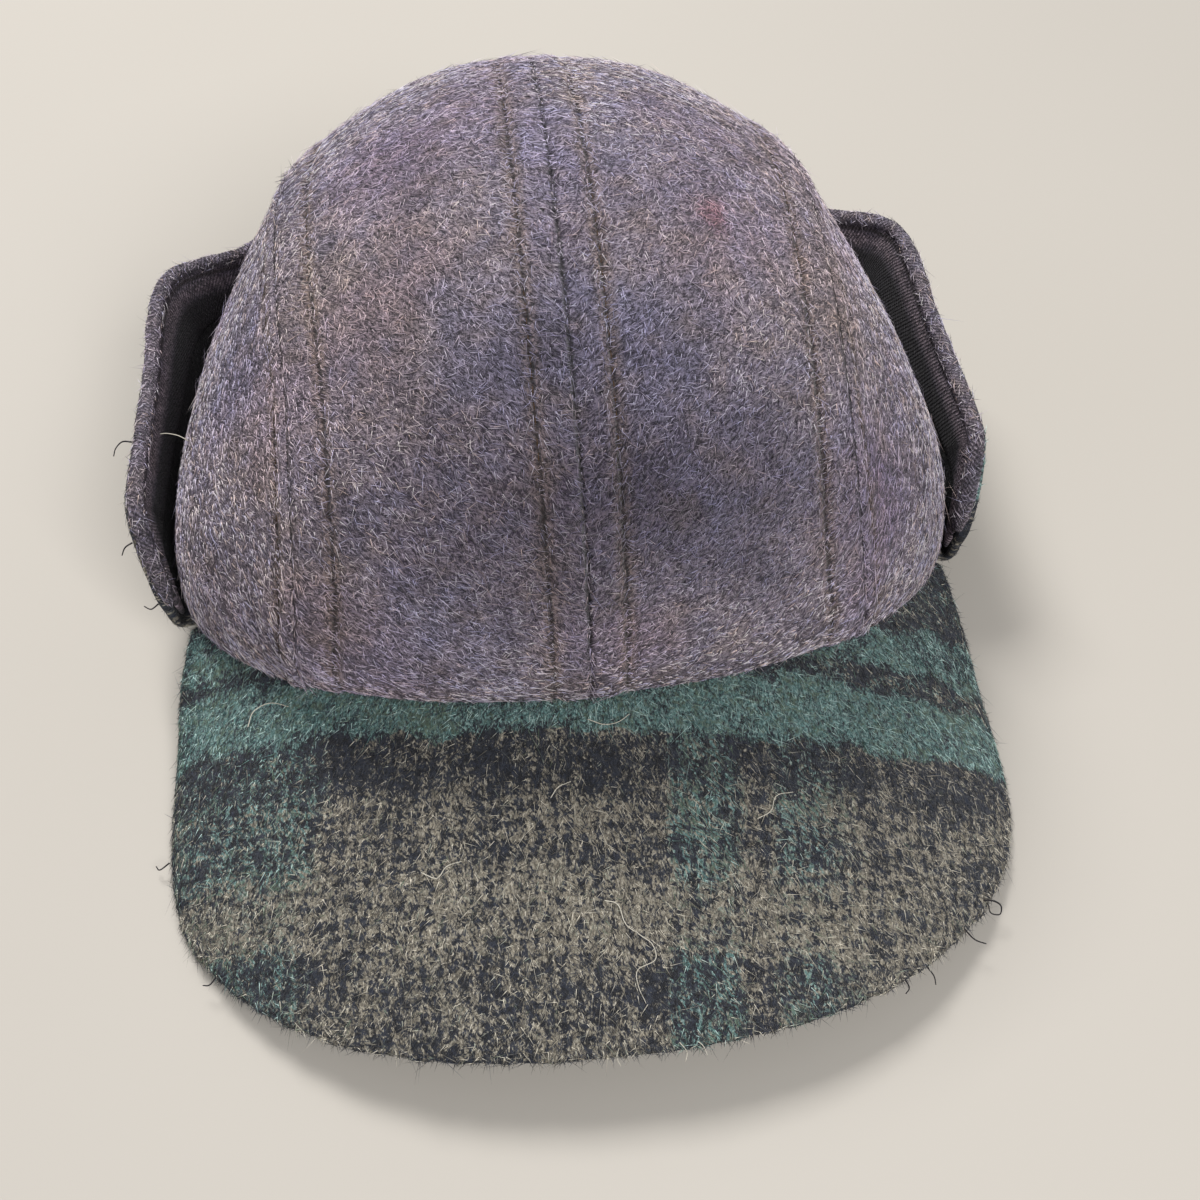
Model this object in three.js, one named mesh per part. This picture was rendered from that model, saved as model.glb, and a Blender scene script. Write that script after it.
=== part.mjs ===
// A soft wool cap with a curved peak and ear flaps that are turned up.
// It lies on a table by itself: the peak's two side edges and the folded hem of the flaps touch down,
// and the stiff peak holds the front of the crown up. Millimetres, +Z up, the peak points to -Y.
import * as THREE from "three";

// Sizes of the crown.
const crownWidth = 176;
const crownLength = 184;
const crownWidestBack = 55;
const backSquareness = 2.25;
const crownHeight = 112;
const crownWall = 2.2;
const rimLevelHeight = 12;

// The rim: how far the peak lifts its front, and how far back that lift reaches.
const frontLift = 30.5;
const liftReach = 112;

// Sizes of the peak.
const peakWidth = 181;
const peakReach = 66.5;
const peakWidestBack = -5;
const peakThickness = 4;
const peakCornerSquareness = 2.25;
const peakEdgeShare = 0.35;
const peakFrontClear = 12.5;
const peakWingTurn = 76;
const peakTongue = 3.4;

// Sizes of the ear flaps, which are one band round the back.
const flapHeight = 42;
const flapCloth = 2.4;
const flapFlare = 13;
const flapFoot = 3.6;
const flapBend = 2.4;
const flareCurl = 1.4;
const facingCloth = 1.4;
const facingDepth = 15;

// The gap that neighbouring pieces keep, and the width of a seam between two panels.
const gap = 0.3;
const seamGap = 0.4;

// Where the two side seams start and end on the rim, in degrees of turn from the front.
const frontFootTurn = 41.5;
const backFootTurn = 148;

// The crown's sections from front to back. back and up place the centre seam, as shares of the crown's
// length and height. seamOut, seamBack and seamUp place the side seam, as shares of the half width,
// length and height. rimShare is how far round the rim the side panel's lower end has got, and swell
// is how far the cloth stands out between the seams, as a share of the height.
const crownSections = [
  { back: -0.012, up: 0.385, seamOut: 0.665, seamBack: 0.062, seamUp: 0.335, rimShare: 0.03, swell: 0.05 },
  { back: -0.006, up: 0.51, seamOut: 0.645, seamBack: 0.062, seamUp: 0.45, rimShare: 0.07, swell: 0.045 },
  { back: 0.026, up: 0.655, seamOut: 0.625, seamBack: 0.085, seamUp: 0.575, rimShare: 0.13, swell: 0.045 },
  { back: 0.086, up: 0.79, seamOut: 0.615, seamBack: 0.14, seamUp: 0.69, rimShare: 0.2, swell: 0.05 },
  { back: 0.178, up: 0.905, seamOut: 0.615, seamBack: 0.225, seamUp: 0.77, rimShare: 0.27, swell: 0.05 },
  { back: 0.292, up: 0.98, seamOut: 0.62, seamBack: 0.328, seamUp: 0.81, rimShare: 0.35, swell: 0.05 },
  { back: 0.415, up: 1.0, seamOut: 0.625, seamBack: 0.44, seamUp: 0.805, rimShare: 0.43, swell: 0.05 },
  { back: 0.54, up: 0.97, seamOut: 0.625, seamBack: 0.552, seamUp: 0.765, rimShare: 0.52, swell: 0.05 },
  { back: 0.66, up: 0.89, seamOut: 0.615, seamBack: 0.656, seamUp: 0.685, rimShare: 0.61, swell: 0.055 },
  { back: 0.775, up: 0.76, seamOut: 0.605, seamBack: 0.755, seamUp: 0.575, rimShare: 0.7, swell: 0.055 },
  { back: 0.873, up: 0.585, seamOut: 0.592, seamBack: 0.832, seamUp: 0.44, rimShare: 0.79, swell: 0.05 },
  { back: 0.945, up: 0.385, seamOut: 0.58, seamBack: 0.877, seamUp: 0.295, rimShare: 0.87, swell: 0.045 },
  { back: 0.985, up: 0.185, seamOut: 0.572, seamBack: 0.898, seamUp: 0.15, rimShare: 0.94, swell: 0.042 },
];

// The flap's sections along the band, from one wing of the peak to the middle of the back. along is the
// share of the way, tall and flare are shares of the flap's height and flare.
const flapSections = [
  { along: 0.0, tall: 0.2, flare: 0.1 },
  { along: 0.03, tall: 0.44, flare: 0.14 },
  { along: 0.07, tall: 0.68, flare: 0.17 },
  { along: 0.12, tall: 0.83, flare: 0.19 },
  { along: 0.19, tall: 0.92, flare: 0.24 },
  { along: 0.27, tall: 0.97, flare: 0.4 },
  { along: 0.345, tall: 1.0, flare: 0.7 },
  { along: 0.4, tall: 0.99, flare: 0.86 },
  { along: 0.435, tall: 0.96, flare: 0.63 },
  { along: 0.465, tall: 0.91, flare: 0.36 },
  { along: 0.5, tall: 0.85, flare: 0.2 },
  { along: 0.56, tall: 0.8, flare: 0.14 },
  { along: 0.75, tall: 0.77, flare: 0.12 },
  { along: 1.0, tall: 0.77, flare: 0.12 },
];

// The soft dents in the crown. station is front to back, across runs from the centre seam (0) over the
// side seam (1) to the rim (2), side is -1 for the left, and depth is in mm, inwards.
const dents = [
  { side: 1, station: 0.2, across: 0.35, depth: 2.2, reach: 0.1, spread: 0.45 },
  { side: -1, station: 0.17, across: 0.4, depth: 1.6, reach: 0.09, spread: 0.45 },
  { side: -1, station: 0.34, across: 0.75, depth: 1.8, reach: 0.09, spread: 0.4 },
  { side: 1, station: 0.4, across: 0.6, depth: 1.2, reach: 0.1, spread: 0.4 },
  { side: -1, station: 0.22, across: 1.45, depth: 1.6, reach: 0.1, spread: 0.35 },
  { side: 1, station: 0.24, across: 1.4, depth: 2.0, reach: 0.12, spread: 0.35 },
];

const UP = new THREE.Vector3(0, 0, 1);
const halfWidth = crownWidth / 2;
const crownBase = flapCloth + gap;
const signedPower = (value, power) => Math.sign(value) * Math.abs(value) ** power;
const radians = THREE.MathUtils.degToRad;

// A point of the rim, where the crown's outer face ends. turn is in degrees, 0 at the front, 90 right.
// The rim is a short half ellipse in front of its widest place and a long, squarer one behind it.
function rimPoint(turn) {
  const angle = radians(turn);
  const inFront = Math.cos(angle) > 0;
  const reach = inFront ? crownWidestBack : crownLength - crownWidestBack;
  const power = inFront ? 1 : 2 / backSquareness;
  const x = halfWidth * signedPower(Math.sin(angle), power);
  const y = crownWidestBack - reach * signedPower(Math.cos(angle), power);
  const lift = frontLift * Math.max(0, 1 - y / liftReach) ** 2;
  return new THREE.Vector3(x, y, crownBase + lift);
}

// The level direction that points away from the head at a point of the rim.
function rimOutward(turn) {
  const along = rimPoint(turn + 0.5).sub(rimPoint(turn - 0.5));
  return new THREE.Vector3(along.y, -along.x, 0).normalize();
}

// Curves through the sections: the centre seam, the right side seam, and two plain columns.
const frontFoot = rimPoint(frontFootTurn);
const backFoot = rimPoint(backFootTurn);
const place = (x, y, z) => new THREE.Vector3(x * halfWidth, y * crownLength, z * crownHeight);
const centreSeam = new THREE.CatmullRomCurve3([
  rimPoint(0),
  ...crownSections.map((row) => place(0, row.back, row.up)),
  rimPoint(180),
]);
const sideSeam = new THREE.CatmullRomCurve3([
  frontFoot,
  ...crownSections.map((row) => place(row.seamOut, row.seamBack, row.seamUp)),
  backFoot,
]);
const rimAndSwell = new THREE.CatmullRomCurve3([
  new THREE.Vector3(0, crownSections[0].swell, 0),
  ...crownSections.map((row) => new THREE.Vector3(row.rimShare, row.swell, 0)),
  new THREE.Vector3(1, crownSections.at(-1).swell, 0),
]);

// The turn of the rim that a place of the crown stands over.
function rimTurn(station, across) {
  if (across > 1) return THREE.MathUtils.lerp(frontFootTurn, backFootTurn, rimAndSwell.getPoint(station).x);
  return station < 0.5 ? frontFootTurn * across : 180 + (backFootTurn - 180) * across;
}

// The cloth between the centre seam (across 0) and the side seam (across 1) at a station.
function stripRib(station, across) {
  const from = centreSeam.getPoint(station);
  const to = sideSeam.getPoint(station);
  const run = centreSeam.getTangent(THREE.MathUtils.clamp(station, 0.001, 0.999));
  const out = new THREE.Vector3(0, -run.z, run.y);
  const swell = rimAndSwell.getPoint(station).y * crownHeight * (4 / 3);
  const one = from.clone().lerp(to, 1 / 3).addScaledVector(out, swell);
  const two = from.clone().lerp(to, 2 / 3).addScaledVector(out, swell);
  return new THREE.CubicBezierCurve3(from, one, two, to).getPoint(across);
}

// The same, with both ends laid exactly on the rim.
const endBlend = 0.16;
function stripPoint(station, across) {
  const point = stripRib(station, across);
  const frontPull = Math.max(0, 1 - station / endBlend) ** 2;
  const backPull = Math.max(0, 1 - (1 - station) / endBlend) ** 2;
  const onFrontRim = rimPoint(rimTurn(0, across)).sub(stripRib(0, across));
  const onBackRim = rimPoint(rimTurn(1, across)).sub(stripRib(1, across));
  return point.addScaledVector(onFrontRim, frontPull).addScaledVector(onBackRim, backPull);
}

// The side panel's cloth from the side seam (down 0) to the rim (down 1) at a station.
function sidePoint(station, down) {
  const from = sideSeam.getPoint(station);
  const turn = rimTurn(station, 2);
  const to = rimPoint(turn);
  const height = from.distanceTo(to);
  const away = from.clone().sub(stripPoint(station, 0.9)).normalize();
  const leave = away.multiplyScalar(0.65).addScaledVector(UP, -0.4).normalize();
  const arrive = rimOutward(turn).multiplyScalar(0.1).add(UP).normalize();
  const one = from.clone().addScaledVector(leave, height * 0.36);
  const two = to.clone().addScaledVector(arrive, height * 0.36);
  return new THREE.CubicBezierCurve3(from, one, two, to).getPoint(down);
}

// The crown's outer face. across runs 0 to 1 over the strip and 1 to 2 over the side panel.
function crownBare(side, station, across) {
  const point = across <= 1 ? stripPoint(station, across) : sidePoint(station, across - 1);
  point.x *= side;
  return point;
}

// The outward direction there, from two short steps on the face. Beside a seam it turns to the direction
// that both panels share, so that their walls meet along one plane, and near the rim it turns level.
function crownOutward(side, station, across) {
  const step = 0.004;
  const slant = (low, high) => {
    const back = crownBare(side, Math.min(1, station + step), across);
    const front = crownBare(side, Math.max(0, station - step), across);
    const outer = crownBare(side, station, Math.min(high, across + step));
    const inner = crownBare(side, station, Math.max(low, across - step));
    return back.sub(front).cross(outer.sub(inner)).multiplyScalar(-side).normalize();
  };
  const out = across < 1 ? slant(0, 1) : slant(1, 2);
  const turnShare = 0.15;
  const nearCentre = Math.max(0, 1 - across / turnShare);
  const nearSide = Math.max(0, 1 - Math.abs(across - 1) / turnShare);
  out.x *= 1 - nearCentre;
  if (nearSide > 0) {
    const before = crownBare(side, station, 1 - step).sub(crownBare(side, station, 1)).normalize();
    const after = crownBare(side, station, 1 + step * 2).sub(crownBare(side, station, 1)).normalize();
    const run = sideSeam.getTangent(THREE.MathUtils.clamp(station, 0.001, 0.999));
    run.x *= side;
    const shared = run.cross(after.sub(before)).multiplyScalar(-side).normalize();
    out.lerp(shared, nearSide);
  }
  const turn = rimTurn(station, across);
  const height = crownBare(side, station, across).z - rimPoint(turn).z;
  const level = rimOutward(turn);
  level.x *= side;
  return out.normalize().lerp(level, Math.max(0, 1 - height / rimLevelHeight)).normalize();
}

// The crown's outer face with its dents.
function crownPoint(side, station, across) {
  const point = crownBare(side, station, across);
  const out = crownOutward(side, station, across);
  for (const dent of dents) {
    if (dent.side !== side) continue;
    const far = ((station - dent.station) / dent.reach) ** 2 + ((across - dent.across) / dent.spread) ** 2;
    point.addScaledVector(out, -dent.depth * Math.exp(-far));
  }
  return { point, out };
}

// A closed wall between two grids of the same size, front[row][column] and back[row][column].
function wallGeometry(front, back) {
  const rows = front.length;
  const columns = front[0].length;
  const points = [...front.flat(), ...back.flat()];
  const at = (face, row, column) => (face * rows + row) * columns + column;
  const index = [];
  const quad = (a, b, c, d) => index.push(a, b, c, a, c, d);
  for (let r = 0; r + 1 < rows; r++) {
    for (let c = 0; c + 1 < columns; c++) {
      quad(at(0, r, c), at(0, r, c + 1), at(0, r + 1, c + 1), at(0, r + 1, c));
      quad(at(1, r, c), at(1, r + 1, c), at(1, r + 1, c + 1), at(1, r, c + 1));
    }
  }
  for (let c = 0; c + 1 < columns; c++) {
    quad(at(0, 0, c), at(1, 0, c), at(1, 0, c + 1), at(0, 0, c + 1));
    quad(at(0, rows - 1, c + 1), at(1, rows - 1, c + 1), at(1, rows - 1, c), at(0, rows - 1, c));
  }
  for (let r = 0; r + 1 < rows; r++) {
    quad(at(0, r + 1, 0), at(1, r + 1, 0), at(1, r, 0), at(0, r, 0));
    quad(at(0, r, columns - 1), at(1, r, columns - 1), at(1, r + 1, columns - 1), at(0, r + 1, columns - 1));
  }
  const geometry = new THREE.BufferGeometry().setFromPoints(points);
  geometry.setIndex(index);
  geometry.computeVertexNormals();
  return geometry;
}

// Even steps from one value to another.
const steps = (from, to, count) =>
  Array.from({ length: count + 1 }, (_, i) => THREE.MathUtils.lerp(from, to, i / count));

// A panel of the crown: a strip from across 0 to 1, or a side panel from 1 to 2.
function crownPanel(side, acrossFrom, acrossTo, stationCount, acrossCount) {
  const tip = acrossFrom < 1 ? 0 : 0.006;
  const front = [];
  const back = [];
  for (const station of steps(tip, 1 - tip, stationCount)) {
    const span = crownBare(side, station, acrossFrom).distanceTo(crownBare(side, station, acrossTo));
    const trim = Math.min(0.3, seamGap / 2 / span);
    const lastTrim = acrossTo < 2 ? trim : 0;
    const outerRow = [];
    const innerRow = [];
    for (const across of steps(acrossFrom + trim, acrossTo - lastTrim, acrossCount)) {
      const { point, out } = crownPoint(side, station, across);
      outerRow.push(point);
      innerRow.push(point.clone().addScaledVector(out, -crownWall));
    }
    front.push(outerRow);
    back.push(innerRow);
  }
  return side > 0 ? wallGeometry(front, back) : wallGeometry(back, front);
}

// The peak's outer edge for share -1 (left wing) over 0 (front) to 1 (right wing).
function peakEdge(share) {
  const size = Math.abs(share);
  const cornerShare = 0.7;
  const wing = rimPoint(peakWingTurn);
  const frontDepth = peakReach + peakWidestBack;
  let x;
  let y;
  if (size < cornerShare) {
    const angle = (size / cornerShare) * (Math.PI / 2);
    x = (peakWidth / 2) * signedPower(Math.sin(angle), 2 / peakCornerSquareness);
    y = peakWidestBack - frontDepth * signedPower(Math.cos(angle), 2 / peakCornerSquareness);
  } else {
    const rest = (size - cornerShare) / (1 - cornerShare);
    x = THREE.MathUtils.lerp(peakWidth / 2, wing.x + 1, rest ** 2.2);
    y = THREE.MathUtils.lerp(peakWidestBack, wing.y, rest);
  }
  const out = Math.min(1, x / (peakWidth / 2));
  const level = (peakThickness * (1 + peakEdgeShare)) / 2 + peakFrontClear * (1 - out ** 2.4);
  const toWing = THREE.MathUtils.smoothstep(y, peakWidestBack, wing.y);
  const z = THREE.MathUtils.lerp(level, wing.z - gap, toWing ** 1.5);
  return new THREE.Vector3(Math.sign(share) * x, y, z);
}

// The peak's root under the crown's rim, drawn in under the crown's wall.
function peakRoot(share) {
  const turn = peakWingTurn * share;
  const root = rimPoint(turn).addScaledVector(rimOutward(turn), -peakTongue);
  root.z = rimPoint(turn).z - gap;
  return root;
}

// The peak is one plate with a round outer edge, its two faces meeting there.
function peakGeometry() {
  const columns = 48;
  const rows = 9;
  const top = [];
  const bottom = [];
  for (const reach of steps(0, 1, rows)) {
    const topRow = [];
    const bottomRow = [];
    for (const share of steps(-1, 1, columns)) {
      const root = peakRoot(share);
      const edge = peakEdge(share);
      const bow = Math.sin(Math.PI * reach) * 1.6 * (1 - Math.abs(share) ** 2);
      const point = root.clone().lerp(edge, reach).addScaledVector(UP, bow);
      const thin = reach < 1 ? 1 : peakEdgeShare;
      const middle = point.clone().addScaledVector(UP, -peakThickness / 2);
      topRow.push(middle.clone().addScaledVector(UP, (peakThickness / 2) * thin));
      bottomRow.push(middle.clone().addScaledVector(UP, (-peakThickness / 2) * thin));
    }
    top.push(topRow);
    bottom.push(bottomRow);
  }
  return wallGeometry(bottom, top);
}

// The flap's height and flare at a share of the whole band, the same on both sides.
const flapShape = new THREE.CubicInterpolant(
  flapSections.map((row) => row.along),
  flapSections.flatMap((row) => [row.tall * flapHeight, row.flare * flapFlare]),
  2,
);

const flapStartTurn = peakWingTurn + 1.5;
const flapTurn = (share) => THREE.MathUtils.lerp(flapStartTurn, 360 - flapStartTurn, share);

// A place on the middle line of the flap's cloth, and the way it faces there, towards the crown. t runs
// over the flat hem under the crown (0 to 1), round the fold (1 to 2) and up to the free edge (2 to 3).
function flapPlace(share, t) {
  const turn = flapTurn(share);
  const outward = rimOutward(turn);
  const [tall, flare] = flapShape.evaluate(1 - Math.abs(2 * share - 1));
  const foldStart = flapFoot - flapBend;
  const angle = radians(90 * THREE.MathUtils.clamp(t - 1, 0, 1));
  const rise = Math.max(0, t - 2);
  const hem = THREE.MathUtils.lerp(-crownWall, foldStart, Math.min(1, t));
  const out = hem + flapBend * Math.sin(angle) + flare * rise ** flareCurl;
  const up = flapBend * (1 - Math.cos(angle)) + (tall - flapBend) * rise;
  const lean = rise > 0 ? Math.atan2(flareCurl * flare * rise ** (flareCurl - 1), tall - flapBend) : 0;
  const point = rimPoint(turn).addScaledVector(outward, out);
  point.z += flapCloth / 2 - crownBase + up;
  const face = outward.clone().multiplyScalar(-Math.sin(angle - lean)).setZ(Math.cos(angle - lean));
  return { point, face };
}

// A layer of the flap between two places of that line, from one distance inside it to another.
const flapColumns = 84;
function flapLayer(placesAt, nearest, farthest) {
  const inner = [];
  const outer = [];
  for (const share of steps(0, 1, flapColumns)) {
    const places = placesAt(share).map((t) => flapPlace(share, t));
    inner.push(places.map(({ point, face }) => point.clone().addScaledVector(face, nearest)));
    outer.push(places.map(({ point, face }) => point.clone().addScaledVector(face, farthest)));
  }
  return wallGeometry(inner, outer);
}

const woolMauve = new THREE.MeshStandardMaterial({ color: 0x6f6472, roughness: 0.95, metalness: 0 });
const woolPlaid = new THREE.MeshStandardMaterial({ color: 0x2f3b39, roughness: 0.95, metalness: 0 });

const cap = new THREE.Group();
function add(name, geometry, material) {
  const mesh = new THREE.Mesh(geometry, material);
  mesh.name = name;
  cap.add(mesh);
}

for (const [side, label] of [[-1, "left"], [1, "right"]]) {
  add(`crown_strip_${label}`, crownPanel(side, 0, 1, 28, 6), woolMauve);
  add(`crown_side_${label}`, crownPanel(side, 1, 2, 28, 9), woolMauve);
}
add("peak", peakGeometry(), woolPlaid);
const flapPlaces = [0, ...steps(1, 2, 3), ...steps(2, 3, 6).slice(1)];
add("ear_flap", flapLayer(() => flapPlaces, flapCloth / 2, -flapCloth / 2), woolPlaid);
function facingPlaces(share) {
  const [tall] = flapShape.evaluate(1 - Math.abs(2 * share - 1));
  return steps(3 - Math.min(0.8, facingDepth / (tall - flapBend)), 3, 4);
}
const facingBack = flapCloth / 2 + gap;
add("flap_facing", flapLayer(facingPlaces, facingBack + facingCloth, facingBack), woolMauve);

// The origin is at the middle of the cap's box, on the table.
const bounds = new THREE.Box3().setFromObject(cap, true);
const middle = bounds.getCenter(new THREE.Vector3());
cap.position.set(-middle.x, -middle.y, -bounds.min.z);

export default cap;
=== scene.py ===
# %% [markdown]
# # A brushed wool cap with turned-up ear flaps
# The cap lies on a table: a round crown sewn from four panels, a stiff curved peak covered in plaid wool,
# and a band of ear flaps folded up round the sides and back. The frame holds plain solids of the right
# size. This lesson dresses each one in cloth: it smooths the form, sews the seams, gives the wool its
# colours and weave, and lays loose fibres over it.

import math

import bpy
import numpy as np
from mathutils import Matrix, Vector, kdtree, noise


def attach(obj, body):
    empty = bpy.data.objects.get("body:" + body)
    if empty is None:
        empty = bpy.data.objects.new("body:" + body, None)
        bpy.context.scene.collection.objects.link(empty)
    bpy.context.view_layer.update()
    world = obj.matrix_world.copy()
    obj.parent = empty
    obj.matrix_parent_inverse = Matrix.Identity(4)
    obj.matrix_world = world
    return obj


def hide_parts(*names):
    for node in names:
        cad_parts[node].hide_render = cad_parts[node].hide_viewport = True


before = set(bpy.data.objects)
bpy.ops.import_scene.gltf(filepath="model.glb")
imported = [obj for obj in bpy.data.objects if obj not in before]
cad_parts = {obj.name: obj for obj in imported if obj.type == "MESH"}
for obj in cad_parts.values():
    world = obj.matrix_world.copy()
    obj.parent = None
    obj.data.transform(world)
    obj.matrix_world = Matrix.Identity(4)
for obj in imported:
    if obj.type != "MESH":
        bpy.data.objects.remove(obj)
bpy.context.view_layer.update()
MM = 0.001
SIDES = {"left": -1, "right": 1}
print("the frame holds", sorted(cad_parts))

# %% [markdown]
# ## The camera
# The cap is seen from above and in front. A camera is best placed by what it looks at, how far away it is
# and at which angles, because each of those can be judged by eye on its own. The lens is a mild standard
# one, so the peak looks larger than the back of the crown, as it does from close by.

# %% Camera
LOOK_AT = Vector((5.4, -30.9, 24.3)) * MM
DISTANCE = 308 * MM
AZIMUTH = math.radians(-6.3)
ELEVATION = math.radians(53)
LENS = 42
SENSOR = 36

camera_data = bpy.data.cameras.new("camera")
camera_data.lens = LENS
camera_data.sensor_width = SENSOR
camera_data.clip_start = 10 * MM
camera = bpy.data.objects.new("camera", camera_data)
bpy.context.scene.collection.objects.link(camera)
back = Vector(
    (
        math.sin(AZIMUTH) * math.cos(ELEVATION),
        -math.cos(AZIMUTH) * math.cos(ELEVATION),
        math.sin(ELEVATION),
    )
)
camera.location = LOOK_AT + back * DISTANCE
camera.rotation_euler = back.to_track_quat("Z", "Y").to_euler()
bpy.context.scene.camera = camera
print("camera at", [round(c, 3) for c in camera.location])

# %% [markdown]
# ## Shader maths as plain sums
# A wool cloth is painted by many small sums of noises and stripes. Wiring each Math node by hand hides
# the idea, so a socket is wrapped in a small class: adding or multiplying two wrapped sockets adds the
# node. One method makes any other node from its type, its settings and its inputs.


# %% A socket that can be added, multiplied and shaped
class Shade:
    def __init__(self, finish, socket):
        self.finish = finish
        self.socket = socket

    def _math(self, operation, first, second=None):
        values = [first] if second is None else [first, second]
        return self.finish.node("ShaderNodeMath", {"operation": operation}, values)

    def __add__(self, other):
        return self._math("ADD", self, other)

    def __radd__(self, other):
        return self._math("ADD", other, self)

    def __sub__(self, other):
        return self._math("SUBTRACT", self, other)

    def __rsub__(self, other):
        return self._math("SUBTRACT", other, self)

    def __mul__(self, other):
        return self._math("MULTIPLY", self, other)

    def __rmul__(self, other):
        return self._math("MULTIPLY", other, self)

    def __truediv__(self, other):
        return self._math("DIVIDE", self, other)

    def __pow__(self, other):
        return self._math("POWER", self, other)

    def __abs__(self):
        return self._math("ABSOLUTE", self)

    def fraction(self):
        return self._math("FRACT", self)

    def rise(self, low, high):
        """0 at low, 1 at high and smooth between. With low the larger, it falls instead."""
        settings = {"interpolation_type": "SMOOTHSTEP"}
        ends = [min(low, high), max(low, high)]
        out = self.finish.node("ShaderNodeMapRange", settings, [self, *ends, 0.0, 1.0])
        return 1 - out if low > high else out

    def band(self, low, high, soft):
        """1 between low and high, with soft edges."""
        return self.rise(low - soft, low + soft) * self.rise(high + soft, high - soft)

    def stripes(self, pitch, share, soft):
        """1 on stripes that repeat every pitch and cover that share of it, with soft edges."""
        ramp = abs((self / pitch).fraction() * 2 - 1)
        return ramp.rise(1 - share - soft, 1 - share + soft)


# %% A finish holds the nodes of one material
class Finish:
    def __init__(self, name):
        self.material = bpy.data.materials.new(name)
        self.material.use_nodes = True
        self.tree = self.material.node_tree
        self.tree.nodes.clear()

    def node(self, kind, settings=None, inputs=(), output=0):
        made = self.tree.nodes.new(kind)
        for key, value in (settings or {}).items():
            if key == "stops":
                self._set_stops(made.color_ramp, value)
            else:
                setattr(made, key, value)
        pairs = inputs.items() if isinstance(inputs, dict) else enumerate(inputs)
        for where, value in pairs:
            if isinstance(value, Shade):
                self.tree.links.new(value.socket, made.inputs[where])
            else:
                made.inputs[where].default_value = value
        return Shade(self, made.outputs[output]) if made.outputs else None

    @staticmethod
    def _set_stops(ramp, stops):
        while len(ramp.elements) < len(stops):
            ramp.elements.new(0.5)
        for element, (place, colour) in zip(ramp.elements, stops):
            element.position = place
            element.color = colour

    def attribute(self, name):
        return self.node("ShaderNodeAttribute", {"attribute_name": name}, output="Vector")

    def parts(self, vector):
        made = self.tree.nodes.new("ShaderNodeSeparateXYZ")
        self.tree.links.new(vector.socket, made.inputs[0])
        return [Shade(self, out) for out in made.outputs]

    def vector(self, x, y, z=0.0):
        return self.node("ShaderNodeCombineXYZ", None, [x, y, z])

    def reckon(self, operation, first, second, output="Vector"):
        """A sum on whole vectors."""
        return self.node("ShaderNodeVectorMath", {"operation": operation}, [first, second], output)

    def noise(self, vector, scale=1.0, detail=2.0, roughness=0.5):
        values = {"Vector": vector, "Scale": scale, "Detail": detail, "Roughness": roughness}
        return self.node("ShaderNodeTexNoise", None, values)

    def mix(self, share, first, second, blend="MIX"):
        settings = {"data_type": "RGBA", "blend_type": blend}
        return self.node("ShaderNodeMix", settings, {0: share, 6: first, 7: second}, output=2)

    def ramp(self, value, stops):
        return self.node("ShaderNodeValToRGB", {"stops": stops}, [value])

    def wool(self, colour, rough=0.95, sheen=0.15, height=None, depth=0.0):
        """Ends the finish as wool. A height gives it a bump of that depth in millimetres."""
        values = {
            "Base Color": colour,
            "Roughness": rough,
            "Sheen Weight": sheen,
            "Sheen Roughness": 0.6,
            "Specular IOR Level": 0.12,
        }
        if height is not None:
            bump_values = {"Strength": 1.0, "Distance": depth * MM, "Height": height}
            values["Normal"] = self.node("ShaderNodeBump", None, bump_values)
        shader = self.node("ShaderNodeBsdfPrincipled", None, values)
        self.node("ShaderNodeOutputMaterial", None, {"Surface": shader})
        return self.material


def tint(red, green, blue):
    """A colour as seen on a screen, 0 to 255, as the linear values that shaders use."""
    return (*[(c / 255) ** 2.2 for c in (red, green, blue)], 1.0)


# %% [markdown]
# ## The nap in a shader
# Brushed wool looks like thousands of short hairs that lie roughly one way. Noise that is stretched
# along the nap gives streaks, and folding it round its middle turns the soft streaks into thin crooked
# lines. Three such layers at different slants cross each other like felted hair.

# %% The nap's layers
FIBRE_WIDTH = 0.5
FIBRE_LENGTH = 2.2
NAP_LAYERS = [
    # turn from the main slant in degrees, size beside the main one, share of the whole, seed
    (0, 1.0, 0.5, 1.7),
    (38, 0.9, 0.4, 5.3),
    (-47, 0.85, 0.35, 9.1),
]


def streaks(finish, across, along, slant, size, seed):
    """Thin crooked lines, 0 to 1, whose nap is turned by slant degrees from the along axis."""
    turn = math.radians(slant)
    wide = across * math.cos(turn) - along * math.sin(turn)
    long = across * math.sin(turn) + along * math.cos(turn)
    bend = finish.noise(finish.vector(across, along, seed), 0.35, 1.0) - 0.5
    where = finish.vector((wide + bend * 3.2) / (FIBRE_WIDTH * size), long / (FIBRE_LENGTH * size), seed)
    return 1 - abs(finish.noise(where, 1.0, 1.5, 0.6) * 2 - 1)


def nap_of(finish, across, along, slant):
    """The height of the nap, 0 to about 1: crossing layers of hair."""
    layers = [streaks(finish, across, along, slant + turn, size, seed) ** 4 * share
              for turn, size, share, seed in NAP_LAYERS]
    return layers[0] + layers[1] + layers[2]
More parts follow.
